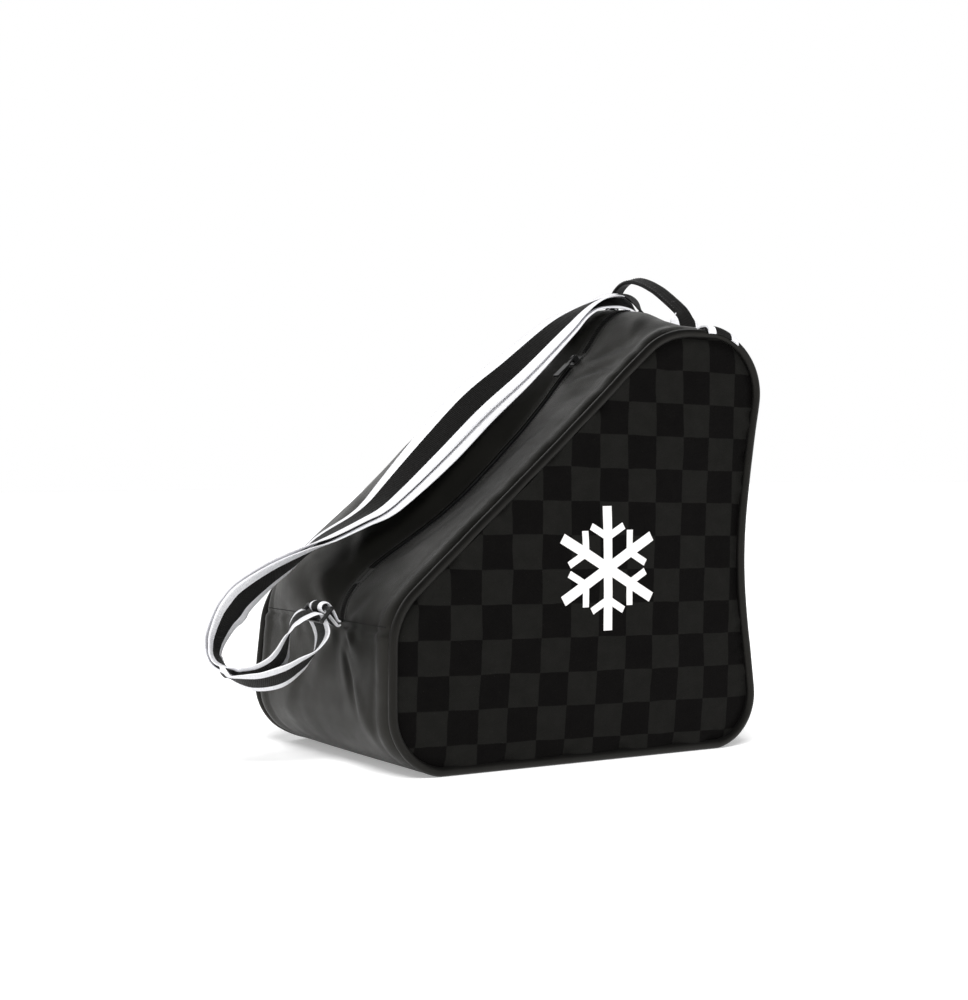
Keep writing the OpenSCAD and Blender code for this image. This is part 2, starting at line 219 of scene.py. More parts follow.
# Folds: distance along and depth of the start and of the end, in millimetres from the place
# where the strap's tab is sewn, then the width and height of the fold.
END_FOLDS = [
    (-18, -9, -76, -42, 4, -1.8), (-20, -2, -74, -30, 8, 1.3), (-5, 2, -50, 6, 10, -1.5),
    (-3, -8, -26, -44, 6, 1.4), (-6, 10, -56, 48, 11, 1.7), (-6, 16, -44, 80, 9, -1.6),
    (-6, -12, -22, -22, 4, -1.3), (4, -6, 30, -40, 6, -1.6), (4, 10, 34, 44, 7, 1.8),
    (4, 22, 40, 84, 9, -2.4),
    (-30, 60, -92, 96, 9, 2.0), (-44, -30, -98, -66, 9, 2.2), (-2, 40, -26, 104, 6, 1.6),
]
# The same, from the upper end of the mouth on the line of the zip.
TOP_FOLDS = [
    (-18, -20, 12, -66, 7, -2.6), (-30, -14, -4, -58, 6, 2.0), (8, -18, 38, -60, 7, -2.2),
    (-52, -18, -26, -74, 8, -1.4), (26, 20, 62, 70, 9, 2.0), (-8, 26, 30, 84, 10, -2.2),
    (40, -50, 84, -20, 10, 1.6),
]
# The same, from the lower end of the mouth on the line of the zip.
SLOPE_FOLDS = [
    (10, -16, 120, -52, 9, -1.4), (60, -60, 210, -74, 8, 1.2), (120, -14, 250, -50, 10, -1.6),
    (20, 40, 130, 78, 14, 2.0), (90, 60, 250, 96, 13, -2.2), (-8, 24, 60, 70, 10, -2.0),
    (180, 34, 268, 70, 12, 1.8),
]


def top_swell(s, y):
    """The top is fuller behind the strap's sewn end and slack under the handle."""
    from_handle = s - HANDLE_S
    full = 8.5 * np.exp(-((from_handle + 0.044) / 0.032) ** 2)
    full = full - 8.5 * np.exp(-((from_handle - 0.032) / 0.030) ** 2)
    hollow = -3.5 * np.exp(-(from_handle / 0.026) ** 2 - ((y + 0.076) / 0.017) ** 2)
    hollow = hollow - 5 * np.exp(-(from_handle / 0.030) ** 2 - ((y + 0.036) / 0.040) ** 2)
    return MM * (full * (1 - (y / SEAM_Y) ** 2) + hollow)


def zip_sag(s, y):
    """The slope hangs into a shallow valley along the zip, deepest half way down it."""
    along = np.sin(np.pi * np.clip((s - MOUTH_LOW) / (MOUTH_HIGH - MOUTH_LOW), 0, 1)) ** 1.2
    spread = np.where(y < ZIP_Y, 0.034, 0.020)
    return -13 * MM * along * np.exp(-((y - ZIP_Y) / spread) ** 2)


def stand_out(s, y, crown, bulge):
    u = y / SEAM_Y
    v = (y - ZIP_Y - ZIP_FLAT) / (SEAM_Y - ZIP_Y - ZIP_FLAT)
    bulge = bulge * (1 - 0.45 * smoothstep((s - MOUTH_MID) / (MOUTH_HIGH - MOUTH_MID)))
    far = np.where(v > 0, bulge * np.sin(np.pi * np.clip(v, 0, 1)), 0)
    return crown * (1 - u * u) + far + top_swell(s, y) + zip_sag(s, y)


def heel_sag(points):
    """The empty lower corner at the low end slumps outwards a little, more at the back."""
    x, y, z = points[..., 0], points[..., 1], points[..., 2]
    low = np.exp(-((z - 0.050) / 0.055) ** 2) * smoothstep(z / 0.02)
    shift = 8 * MM * low * smoothstep((y + 0.06) / 0.18) * smoothstep((LEFT + 0.10 - x) / 0.10)
    moved = points.copy()
    moved[..., 0] -= shift
    return moved


def cloth_detail(s, y):
    """What the soft cloth adds to the plain shape: tucked edges, folds, puckers, slack."""
    edge = SEAM_Y - np.abs(y)
    free = smoothstep(edge / 0.03)
    out = -3.6 * MM * np.exp(-(edge / 0.003)) + 1.5 * MM * np.exp(-((edge - 0.011) / 0.0055) ** 2)
    out = out - 0.7 * MM * np.exp(-((edge - 0.020) / 0.003) ** 2)
    slack = 1.5 * cloth_noise(s * 14, y * 22, 3) + 0.7 * cloth_noise(s * 34, y * 45, 5)
    out = out + MM * slack * free
    upright = smoothstep((CROSS_SEAM + 0.03 - s) / 0.03)
    for group, origin in (
        (END_FOLDS, ANCHOR), (TOP_FOLDS, (MOUTH_HIGH, ZIP_Y)), (SLOPE_FOLDS, (MOUTH_LOW, ZIP_Y)),
    ):
        for s0, y0, s1, y1, width, height in group:
            start = (origin[0] + s0 * MM, origin[1] + y0 * MM)
            end = (origin[0] + s1 * MM, origin[1] + y1 * MM)
            out = out + free * fold(s, y, start, end, width * MM, height * MM)
    # the cross seam is drawn in, with short puckers either side of it
    off = s - CROSS_SEAM
    pucker = cloth_noise(y * 95, s * 20, 9) * np.exp(-((off + 0.008) / 0.012) ** 2)
    fold_over = 0.8 * np.exp(-((off + 0.0055) / 0.0035) ** 2)
    drawn = fold_over - 1.7 * np.exp(-(off / 0.0018) ** 2)
    out = out + MM * (free * 1.3 * pucker + smoothstep(edge / 0.006) * drawn)
    # the tab pulls a dimple where it is sewn in
    near = (off ** 2 + (y - ANCHOR[1]) ** 2) / 0.024 ** 2
    out = out - 3.2 * MM * np.exp(-near) * upright
    # puckers where the front and back seams gather the cloth
    gather = cloth_noise(s * 75, y * 10, 17) * np.exp(-((edge - 0.008) / 0.010) ** 2)
    return out + 0.8 * MM * gather


def zip_groove(s, y):
    """The line where the slope's two halves are sewn together beyond the ends of the zip."""
    sewn = smoothstep((s - CROSS_SEAM) / 0.006) * (1 - smoothstep((s - TOP_START + 0.012) / 0.02))
    line = np.exp(-((y - ZIP_Y) / 0.0016) ** 2)
    return -1.8 * MM * sewn * line


def gusset_surface(s, y, lift=0.0):
    """Points of the bag's cloth, for grids of distance round the outline and depth."""
    s = np.mod(s, GIRTH)
    o = outline_at(s)
    normal = unit(o[..., 2:4])
    loose = smoothstep(o[..., 1] / 0.022)
    height = stand_out(s, y, o[..., 4], o[..., 5]) + zip_groove(s, y) + lift
    height = height + cloth_detail(s, y) * loose
    z = np.maximum(o[..., 1] + normal[..., 1] * height, 0.3 * MM)
    return heel_sag(np.stack([o[..., 0] + normal[..., 0] * height, y, z], axis=-1))


# ---------------------------------------------------------------- meshes


def link(obj):
    bpy.context.collection.objects.link(obj)
    return obj


def make_mesh(name, points, faces, uvs=None, smooth=True):
    """uvs holds one coordinate pair per point."""
    mesh = bpy.data.meshes.new(name)
    mesh.from_pydata([tuple(p) for p in points], [], faces)
    if uvs is not None:
        layer = mesh.uv_layers.new(name="UVMap")
        index = np.empty(len(mesh.loops), dtype=np.int32)
        mesh.loops.foreach_get("vertex_index", index)
        layer.data.foreach_set("uv", np.asarray(uvs, dtype=np.float32)[index].ravel())
    mesh.polygons.foreach_set("use_smooth", [smooth] * len(mesh.polygons))
    mesh.update()
    return link(bpy.data.objects.new(name, mesh))


def grid_faces(rows, cols, offset=0, flip=False, wrap=False):
    faces = []
    for i in range(rows - 1 + (1 if wrap else 0)):
        for j in range(cols - 1):
            a, b = i * cols + j, i * cols + j + 1
            c, d = ((i + 1) % rows) * cols + j + 1, ((i + 1) % rows) * cols + j
            face = (a, b, c, d) if flip else (a, d, c, b)
            faces.append(tuple(k + offset for k in face))
    return faces


def ring_faces(rows, sides, wrap=False):
    """Faces of a row of closed rings, capped at both ends unless it wraps round."""
    faces = []
    for i in range(rows if wrap else rows - 1):
        for j in range(sides):
            k, m = (j + 1) % sides, (i + 1) % rows
            faces.append((i * sides + j, i * sides + k, m * sides + k, m * sides + j))
    if not wrap:
        faces.append(tuple(range(sides - 1, -1, -1)))
        faces.append(tuple((rows - 1) * sides + j for j in range(sides)))
    return faces


def grid_normals(p):
    return unit(np.cross(np.gradient(p, axis=0), np.gradient(p, axis=1)))


def sheet_solid(name, points, uv, thickness, outward=1):
    """A closed thin solid from a grid of outer points, thickened away from its outward side."""
    rows, cols = points.shape[:2]
    inner = points - grid_normals(points) * thickness * outward
    flat = np.concatenate([points.reshape(-1, 3), inner.reshape(-1, 3)])
    total = rows * cols
    faces = grid_faces(rows, cols, 0, flip=outward > 0)
    faces += grid_faces(rows, cols, total, flip=outward < 0)
    rim = list(range(cols)) + [i * cols + cols - 1 for i in range(1, rows)]
    rim += [(rows - 1) * cols + j for j in range(cols - 2, -1, -1)]
    rim += [i * cols for i in range(rows - 2, 0, -1)]
    for k, a in enumerate(rim):
        b = rim[(k + 1) % len(rim)]
        quad = (a, a + total, b + total, b)
        faces.append(quad if outward > 0 else quad[::-1])
    uvs = np.concatenate([uv.reshape(-1, 2), uv.reshape(-1, 2)])
    solid = make_mesh(name, flat, faces, uvs)
    around = set(rim)
    for edge in solid.data.edges:
        if {v % total for v in edge.vertices} <= around:
            edge.use_edge_sharp = True
    return solid


def gusset_piece(name, s0, s1, y0, y1, ds=3.0 * MM, dy=3.2 * MM, lift=0.0, thickness=FABRIC):
    """A piece of the bag's cloth between two distances round it and two depths."""
    s_values = np.linspace(s0, s1, max(2, round((s1 - s0) / ds) + 1))
    y_values = np.linspace(y0, y1, max(2, round((y1 - y0) / dy) + 1))
    s, y = np.meshgrid(s_values, y_values, indexing="ij")
    return sheet_solid(name, gusset_surface(s, y, lift), np.stack([s, y], axis=-1) * 100, thickness)


def tube(name, centre, across, up, radius, sides=12, wrap=False, squash=1.0):
    """A round tube along points, with the two directions across it at each point."""
    angle = np.linspace(0, 2 * np.pi, sides, endpoint=False)
    ring = (centre[:, None, :] + radius * np.cos(angle)[None, :, None] * across[:, None, :]
            + radius * squash * np.sin(angle)[None, :, None] * up[:, None, :])
    faces = ring_faces(len(centre), sides, wrap)
    along = distance_along(centre)
    uv = np.stack(np.meshgrid(along * 100, angle * radius * 100, indexing="ij"), axis=-1)
    return make_mesh(name, ring.reshape(-1, 3), faces, uv.reshape(-1, 2))


def stitches(name, path, normals, pitch=3.2 * MM, length=2.3 * MM, thick=0.35 * MM, lift=0.1 * MM):
    """A row of short raised thread stitches along a path that lies on a surface."""
    along = distance_along(path)
    points, faces = [], []

    def read(table, at):
        return np.array([np.interp(at, along, table[:, c]) for c in range(3)])

    profile = [(-0.5, 0.15), (-0.3, 0.8), (0, 1.0), (0.3, 0.8), (0.5, 0.15)]
    for k in range(int(along[-1] / pitch)):
        mid = (k + 0.5) * pitch
        base = len(points)
        for f, high in profile:
            at = mid + f * length
            p, n = read(path, at), unit(read(normals, at))
            run = unit(read(path, at + 0.0005) - read(path, at - 0.0005))
            side = np.cross(n, run) * thick
            points += [p - side, p + n * (thick * high + lift), p + side, p - n * thick * 0.6]
        for i in range(len(profile) - 1):
            for j in range(4):
                a, b = base + i * 4 + j, base + i * 4 + (j + 1) % 4
                faces.append((a, a + 4, b + 4, b))
        faces.append((base, base + 1, base + 2, base + 3))
        last = base + 4 * (len(profile) - 1)
        faces.append((last + 3, last + 2, last + 1, last))
    uvs = np.array(points)[:, :2] * 100
    return make_mesh(name, points, faces, uvs)


def surface_path(s, y, lift=0.0):
    """Points and normals of a line that lies on the cloth."""
    s, y = np.broadcast_arrays(np.asarray(s, float), np.asarray(y, float))
    p = gusset_surface(s, y, lift)
    ds = gusset_surface(s + 0.001, y, lift) - p
    dy = gusset_surface(s, y + 0.001, lift) - p
    return p, unit(np.cross(ds, dy))


# ---------------------------------------------------------------- materials


class Shader:
    """Short calls for building one material's nodes."""

    def __init__(self, name):
        self.material = bpy.data.materials.new(name)
        self.material.use_nodes = True
        self.tree = self.material.node_tree
        self.main = self.tree.nodes["Principled BSDF"]

    def node(self, kind, **settings):
        made = self.tree.nodes.new(kind)
        for key, value in settings.items():
            setattr(made, key, value)
        return made

    def wire(self, source, target):
        self.tree.links.new(source, target)

    def uv(self):
        return self.node("ShaderNodeTexCoord").outputs["UV"]

    def place(self):
        return self.node("ShaderNodeTexCoord").outputs["Object"]

    def math(self, operation, a, b=None):
        made = self.node("ShaderNodeMath", operation=operation)
        for slot, value in enumerate((a, b)):
            if value is None:
                continue
            if isinstance(value, (int, float)):
                made.inputs[slot].default_value = value
            else:
                self.wire(value, made.inputs[slot])
        return made.outputs[0]

    def split(self, vector):
        made = self.node("ShaderNodeSeparateXYZ")
        self.wire(vector, made.inputs[0])
        return made.outputs

    def noise(self, vector, scale, detail=3.0, rough=0.5):
        made = self.node("ShaderNodeTexNoise")
        made.inputs["Scale"].default_value = scale
        made.inputs["Detail"].default_value = detail
        made.inputs["Roughness"].default_value = rough
        self.wire(vector, made.inputs["Vector"])
        return made.outputs["Fac"]

    def ramp(self, value, *stops, ease="LINEAR"):
        made = self.node("ShaderNodeValToRGB")
        made.color_ramp.interpolation = ease
        while len(made.color_ramp.elements) < len(stops):
            made.color_ramp.elements.new(0.5)
        for element, (place, colour) in zip(made.color_ramp.elements, stops):
            element.position = place
            grey = (colour,) * 3 if isinstance(colour, (int, float)) else colour
            element.color = (*grey, 1)
        self.wire(value, made.inputs[0])
        return made.outputs[0]

    def mix(self, factor, a, b):
        made = self.node("ShaderNodeMix", data_type="RGBA")
        self.wire(factor, made.inputs["Factor"])
        for socket, value in ((made.inputs[6], a), (made.inputs[7], b)):
            if isinstance(value, tuple):
                socket.default_value = (*value, 1)
            else:
                self.wire(value, socket)
        return made.outputs[2]

    def bump(self, height, strength, distance):
        made = self.node("ShaderNodeBump")
        made.inputs["Strength"].default_value = strength
        made.inputs["Distance"].default_value = distance
        self.wire(height, made.inputs["Height"])
        self.wire(made.outputs[0], self.main.inputs["Normal"])

    def weave(self, vector, pitch_u, pitch_v):
        """Height of a plain weave; the pitches are in the coordinates' own units."""
        u, v = self.split(vector)[:2]
        warp = self.math("SINE", self.math("MULTIPLY", u, 2 * math.pi / pitch_u))
        weft = self.math("SINE", self.math("MULTIPLY", v, 2 * math.pi / pitch_v))
        return self.math("MULTIPLY", warp, weft)

    def colour(self, source):
        self.wire(source, self.main.inputs["Base Color"])

    def finish(self, rough, sheen=0.0, specular=0.5, warm=0.0):
        """Sets the plain values; warm turns the highlights towards red."""
        self.main.inputs["Roughness"].default_value = rough
        self.main.inputs["Sheen Weight"].default_value = sheen
        self.main.inputs["Sheen Roughness"].default_value = 0.4
        self.main.inputs["Specular IOR Level"].default_value = specular
        self.main.inputs["Specular Tint"].default_value = (1.0, 1 - 0.3 * warm, 1 - warm, 1.0)
        return self.material


def gusset_material():
    m = Shader("gusset_nylon")
    cloudy = m.noise(m.place(), 22, 4)
    m.colour(m.ramp(cloudy, (0.3, (0.0028, 0.0028, 0.0024)), (0.7, (0.0042, 0.0041, 0.0036))))
    m.wire(m.ramp(m.noise(m.place(), 60, 3), (0.3, 0.42), (0.7, 0.52)), m.main.inputs["Roughness"])
    weave = m.weave(m.uv(), 0.06, 0.06)
    crease = m.noise(m.place(), 90, 5, 0.6)
    height = m.math("ADD", m.math("MULTIPLY", weave, 0.12), m.math("MULTIPLY", crease, 0.9))
    m.bump(height, 0.35, 0.0006)
    return m.finish(0.5, specular=0.29, warm=0.12)


# One square of the check, at the size that the bag is assumed to have.
CHECK = 29.3 * MM
CHECK_TURN = math.radians(-1.65)
CHECK_START = (-168.3 * MM, 26.2 * MM)


def panel_material():
    """Woven polyester with a tone-on-tone check; its UV counts the squares."""
    m = Shader("panel_polyester")
    wobble = m.node("ShaderNodeTexNoise")
    wobble.inputs["Scale"].default_value = 1.1
    wobble.inputs["Detail"].default_value = 2
    uv = m.uv()
    m.wire(uv, wobble.inputs["Vector"])
    centred = m.node("ShaderNodeVectorMath", operation="SUBTRACT")
    m.wire(wobble.outputs["Color"], centred.inputs[0])
    centred.inputs[1].default_value = (0.5, 0.5, 0.5)
    scaled = m.node("ShaderNodeVectorMath", operation="SCALE")
    m.wire(centred.outputs[0], scaled.inputs[0])
    scaled.inputs["Scale"].default_value = 0.09
    moved = m.node("ShaderNodeVectorMath", operation="ADD")
    m.wire(uv, moved.inputs[0])
    m.wire(scaled.outputs[0], moved.inputs[1])
    u, v = m.split(moved.outputs[0])[:2]
    squares = m.math("ADD", m.math("FLOOR", u), m.math("FLOOR", v))
    dark = m.math("FLOORED_MODULO", squares, 2.0)
    tint = m.noise(uv, 2.2, 4)
    light_tone = m.ramp(tint, (0.3, (0.0072, 0.0072, 0.0066)), (0.7, (0.0092, 0.0090, 0.0084)))
    dark_tone = m.ramp(tint, (0.3, (0.0020, 0.0018, 0.0019)), (0.7, (0.0026, 0.0024, 0.0024)))
    tone = m.mix(dark, light_tone, dark_tone)
    weave = m.weave(uv, 0.052, 0.052)
    slub = m.noise(uv, 38, 2)
    thread = m.ramp(m.math("ADD", m.math("MULTIPLY", weave, 0.25), slub), (0.25, 0.82), (0.75, 1.2))
    shaded = m.node("ShaderNodeMix", data_type="RGBA", blend_type="MULTIPLY")
    shaded.inputs["Factor"].default_value = 1.0
    m.wire(tone, shaded.inputs[6])
    m.wire(thread, shaded.inputs[7])
    m.colour(shaded.outputs[2])
    m.bump(m.math("ADD", m.math("MULTIPLY", weave, 0.5), slub), 0.5, 0.0004)
    return m.finish(0.8, specular=0.07, warm=0.12)


def piping_material():
    m = Shader("piping_vinyl")
    cloudy = m.noise(m.place(), 40, 3)
    m.colour(m.ramp(cloudy, (0.3, (0.0036, 0.0035, 0.0033)), (0.7, (0.0052, 0.0051, 0.0048))))
    m.bump(m.noise(m.place(), 160, 4, 0.6), 0.3, 0.0005)
    return m.finish(0.46, specular=0.21, warm=0.12)


WEBBING = 38 * MM
WHITE_EDGE = 9 * MM / WEBBING


def webbing_material():
    """Striped webbing; U runs across it from 0 to 1 and V along it in centimetres."""
    m = Shader("webbing")
    u, v = m.split(m.uv())[:2]
    from_middle = m.math("ABSOLUTE", m.math("SUBTRACT", u, 0.5))
    edge_noise = m.math("MULTIPLY", m.math("SUBTRACT", m.noise(m.uv(), 60, 1), 0.5), 0.012)
    white = m.math("GREATER_THAN", m.math("ADD", from_middle, edge_noise), 0.5 - WHITE_EDGE)
    rib = m.math("SINE", m.math("MULTIPLY", v, 2 * math.pi / 0.17))
    yarn = m.math("SINE", m.math("MULTIPLY", u, 2 * math.pi * 26))
    tint = m.noise(m.uv(), 9, 3)
    white_tone = m.ramp(tint, (0.3, (0.76, 0.76, 0.79)), (0.7, (0.86, 0.86, 0.88)))
    black_tone = m.ramp(m.math("ADD", m.math("MULTIPLY", rib, 0.35), tint),
                        (0.2, (0.0045, 0.0044, 0.0043)), (0.9, (0.0150, 0.0146, 0.0142)))
    m.colour(m.mix(white, black_tone, white_tone))
    height = m.math("ADD", m.math("MULTIPLY", rib, 0.6), m.math("MULTIPLY", yarn, 0.35))
    m.bump(height, 0.45, 0.0005)
    return m.finish(0.7, sheen=0.04, specular=0.12)


def black_webbing_material():
    """Webbing that shows only its black middle; the strap's sewn end is dressed in it."""
    m = Shader("folded_webbing")
    v = m.split(m.uv())[1]
    rib = m.math("SINE", m.math("MULTIPLY", v, 2 * math.pi / 0.17))
    tone = m.math("ADD", m.math("MULTIPLY", rib, 0.3), m.noise(m.uv(), 12, 3))
    m.colour(m.ramp(tone, (0.2, (0.0055, 0.0054, 0.0052)), (0.9, (0.0170, 0.0166, 0.0162))))
    m.bump(rib, 0.45, 0.0005)
    return m.finish(0.7, sheen=0.04, specular=0.12)


def plain_material(name, dark, light, rough, grain, specular=0.5):
    """Moulded, enamelled or woven small parts: two close tones and a fine grain."""
    m = Shader(name)
    m.colour(m.ramp(m.noise(m.place(), grain, 4), (0.3, dark), (0.7, light)))
    m.bump(m.noise(m.place(), grain * 6, 3), 0.25, 0.0003)
    return m.finish(rough, specular=specular)


MATERIALS = {
    "gusset_nylon": gusset_material(),
    "panel_polyester": panel_material(),
    "piping_vinyl": piping_material(),
    "webbing": webbing_material(),
    "folded_webbing": black_webbing_material(),
    "binding_tape": plain_material("binding_tape", (0.010,) * 3, (0.018,) * 3, 0.75, 90),
    "stiffener_board": plain_material("stiffener_board", (0.03,) * 3, (0.05,) * 3, 0.6, 50),
    "print_white": plain_material("print_white", (0.80, 0.78, 0.77), (0.87, 0.85, 0.84), 0.42, 60),
    "zip_tape": plain_material("zip_tape", (0.010,) * 3, (0.017,) * 3, 0.7, 120),
    "zip_coil": plain_material("zip_coil", (0.003,) * 3, (0.006,) * 3, 0.5, 80, specular=0.12),
    "zip_metal": plain_material("zip_metal", (0.006,) * 3, (0.010,) * 3, 0.4, 90, specular=0.3),
    "stop_metal": plain_material("stop_metal", (0.006,) * 3, (0.010,) * 3, 0.5, 90, specular=0.2),
    "plastic_black": plain_material("plastic_black", (0.010,) * 3, (0.016,) * 3, 0.34, 70),
    "thread_black": plain_material("thread_black", (0.008,) * 3, (0.014,) * 3, 0.7, 200, specular=0.15),
    "thread_grey": plain_material("thread_grey", (0.07,) * 3, (0.10,) * 3, 0.6, 200),
}


def dress(obj, material):
    obj.data.materials.clear()
    obj.data.materials.append(MATERIALS[material])
    return obj


# ---------------------------------------------------------------- the cloth shell
FLAP_GAP = 4.7 * MM
HALVES = (("lower", MOUTH_LOW, MOUTH_MID), ("upper", MOUTH_MID, MOUTH_HIGH))
SIDES = {"front": (-SEAM_Y, ZIP_Y - FLAP_GAP), "back": (ZIP_Y + FLAP_GAP, SEAM_Y)}


def build_gusset():
    """The fixed cloth round the bag, from the top of the mouth round to its lower end."""
    round_to = MOUTH_LOW + GIRTH
    shell = gusset_piece("gusset_shell", MOUTH_HIGH, round_to, -SEAM_Y, SEAM_Y)
    dress(shell, "gusset_nylon")
    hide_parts("end_panel", "base_panel", "side_panel", "top_panel", "lower_gusset",
                "upper_gusset")
    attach(shell, "root")


def bend_with_flap(piece):
    """Bakes the piece's placement into its mesh."""
    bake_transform(piece)


def build_lips():
    for side, (y0, y1) in SIDES.items():
        for half, s0, s1 in HALVES:
            lip = gusset_piece(f"{side}_lip_{half}", s0, s1, y0, y1)
            dress(lip, "gusset_nylon")
            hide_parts(side + "_flap")
            bend_with_flap(lip)


# ---------------------------------------------------------------- zip
COIL_PITCH = 1.6 * MM
COIL_IN = 0.9 * MM
COIL_OUT = 3.1 * MM
COIL_SUNK = -1.0 * MM
COIL_RISE = 1.5 * MM
SLIDER_REACH = 17 * MM
STITCH_OFF = FLAP_GAP + 2.2 * MM


def coil_row(name, s0, s1, side, mouth=None):
    """One side of the zip: small rounded teeth in a row on the edge of the tape.

    Farther than the slider's reach from an end of the mouth they stand out of the seam."""
    sign = -1 if side == "front" else 1
    points, faces = [], []
    count = int((s1 - s0) / COIL_PITCH)
    tooth_s = s0 + (np.arange(count) + (0.5 if sign > 0 else 0.25)) * COIL_PITCH
    row_y = ZIP_Y + sign * (COIL_IN + COIL_OUT) / 2
    base, normal = surface_path(tooth_s, row_y)
    ahead = surface_path(tooth_s + 0.001, row_y)[0]
    lift = np.full(count, COIL_SUNK)
    if mouth is not None:
        lift = lift + COIL_RISE * smoothstep((np.abs(tooth_s - mouth) - SLIDER_REACH) / 0.005)
    for p, n, q, height in zip(base, normal, ahead, lift):
        t = unit(q - p)
        b = np.cross(n, t)
        first = len(points)
        for f, half in ((-1, 0.7), (-0.6, 1), (0.6, 1), (1, 0.7)):
            c = p + n * height + b * f * (COIL_OUT - COIL_IN) / 2
            for du, dn in ((-1, -0.6), (-0.6, 1), (0.6, 1), (1, -0.6)):
                points.append(c + t * du * half * 0.62 * MM + n * dn * half * 0.7 * MM)
        for i in range(3):
            for j in range(4):
                a, d = first + i * 4 + j, first + i * 4 + (j + 1) % 4
                faces.append((a, d, d + 4, a + 4))
        faces.append((first + 3, first + 2, first + 1, first))
        faces.append((first + 12, first + 13, first + 14, first + 15))
    return make_mesh(name, points, faces, np.array(points)[:, :2] * 100)


def build_zip():
    for side, sign in (("front", -1), ("back", 1)):
        inner, outer = sorted((ZIP_Y + sign * COIL_IN, ZIP_Y + sign * 15 * MM))
        for half, s0, s1 in HALVES:
            tape = gusset_piece(f"{side}_tape_{half}", s0, s1, inner, outer, dy=1.5 * MM,
                                lift=-1.9 * MM, thickness=0.5 * MM)
            dress(tape, "zip_tape")
            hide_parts(side + "_zip_tape")
            bend_with_flap(tape)
            coil = coil_row(f"{side}_coil_{half}", s0, s1, side)
            dress(coil, "zip_coil")
            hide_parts(side + "_zip_coil")
            bend_with_flap(coil)
            path, normals = surface_path(np.linspace(s0, s1, 90), ZIP_Y + sign * STITCH_OFF)
            row = stitches(f"{side}_lip_stitches_{half}", path, normals)
            dress(row, "thread_black")
            bend_with_flap(row)
        ends = ("lower", CROSS_SEAM + 2 * MM, MOUTH_LOW), ("upper", MOUTH_HIGH, TOP_START)
        for end, s0, s1 in ends:
            mouth = MOUTH_LOW if end == "lower" else MOUTH_HIGH
            coil = coil_row(f"{side}_coil_{end}_end", s0, s1, side, mouth)
            dress(coil, "zip_coil")
            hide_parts(f"{end}_zip_end")
            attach(coil, "root")


# ---------------------------------------------------------------- panels and piping
PANEL_EDGE = PIPING - 1.2 * MM
PANEL_SWELL = 5 * MM
PANEL_CENTRE = np.array((0.03, 0.165))


def pulled_out(o):
    """How far the edge is pulled out round the upper corner of the long side."""
    return 2.2 * MM * smoothstep((o[:, 0] + 0.05) / 0.15) * smoothstep((o[:, 1] - 0.24) / 0.10)


def panel_rim(o):
    return o[:, :2] - o[:, 2:4] * (PANEL_EDGE - pulled_out(o))[:, None]


def panel_depth(x, z, edge):
    """How far the panel stands out, from its edge under the piping to its middle."""
    rise = 3.2 * MM * smoothstep(edge / 0.012) + PANEL_SWELL * smoothstep(edge / 0.11)
    ripple = 1.1 * cloth_noise(x * 16 + 8, z * 16 + 8, 21) + 0.4 * cloth_noise(x * 48 + 9, z * 48, 22)
    return rise - 4.4 * MM + ripple * MM * smoothstep(edge / 0.03)


def edge_distance(x, z):
    """Distance from points of a panel to its edge under the piping."""
    rim = panel_rim(CLOSED)
    steps = np.linspace(0, len(rim) - 1.001, 700)
    low = steps.astype(int)
    rim = rim[low] + (rim[low + 1] - rim[low]) * (steps - low)[:, None]
    flat = np.stack([np.ravel(x), np.ravel(z)], axis=-1)
    near = np.array([np.sqrt(((rim - p) ** 2).sum(axis=1).min()) for p in flat])
    return near.reshape(np.shape(x))


def check_uv(x, z, side):
    """Counts the squares of the check from its starting corner."""
    c, s = math.cos(CHECK_TURN), math.sin(CHECK_TURN)
    dx, dz = x * (1 if side < 0 else -1) - CHECK_START[0], z - CHECK_START[1]
    return np.stack([(dx * c + dz * s) / CHECK, (-dx * s + dz * c) / CHECK], axis=-1)


def build_panel(name, side):
    rings = 44
    rim_s = np.linspace(0, GIRTH, 320, endpoint=False)
    rim = panel_rim(outline_at(rim_s))
    share = 1 - (np.arange(rings) / rings) ** 1.3
    xz = PANEL_CENTRE + (rim - PANEL_CENTRE) * share[:, None, None]
    xz = np.concatenate([xz.reshape(-1, 2), PANEL_CENTRE[None]])
    depth = panel_depth(xz[:, 0], xz[:, 1], edge_distance(xz[:, 0], xz[:, 1]))
    outer = heel_sag(np.stack([xz[:, 0], side * (PANEL_FACE + depth), xz[:, 1]], axis=-1))
    inner = outer - np.array((0, side * 2.5 * MM, 0))
    cols, centre, total = len(rim_s), rings * len(rim_s), rings * len(rim_s) + 1
    faces = []
    for layer in (0, total):
        for i in range(rings):
            for j in range(cols):
                k = (j + 1) % cols
                if i < rings - 1:
                    face = (i * cols + j, (i + 1) * cols + j, (i + 1) * cols + k, i * cols + k)
                else:
                    face = (i * cols + j, centre, i * cols + k)
                face = tuple(f + layer for f in face)
                faces.append(face if (side < 0) == (layer > 0) else face[::-1])
    for j in range(cols):
        k = (j + 1) % cols
        face = (j, k, k + total, j + total)
        faces.append(face if side < 0 else face[::-1])
    uv = check_uv(xz[:, 0], xz[:, 1], side)
    panel = make_mesh(name + "_cloth", np.concatenate([outer, inner]), faces, np.concatenate([uv, uv]))
    dress(panel, "panel_polyester")
    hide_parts(name)
    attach(panel, "root")


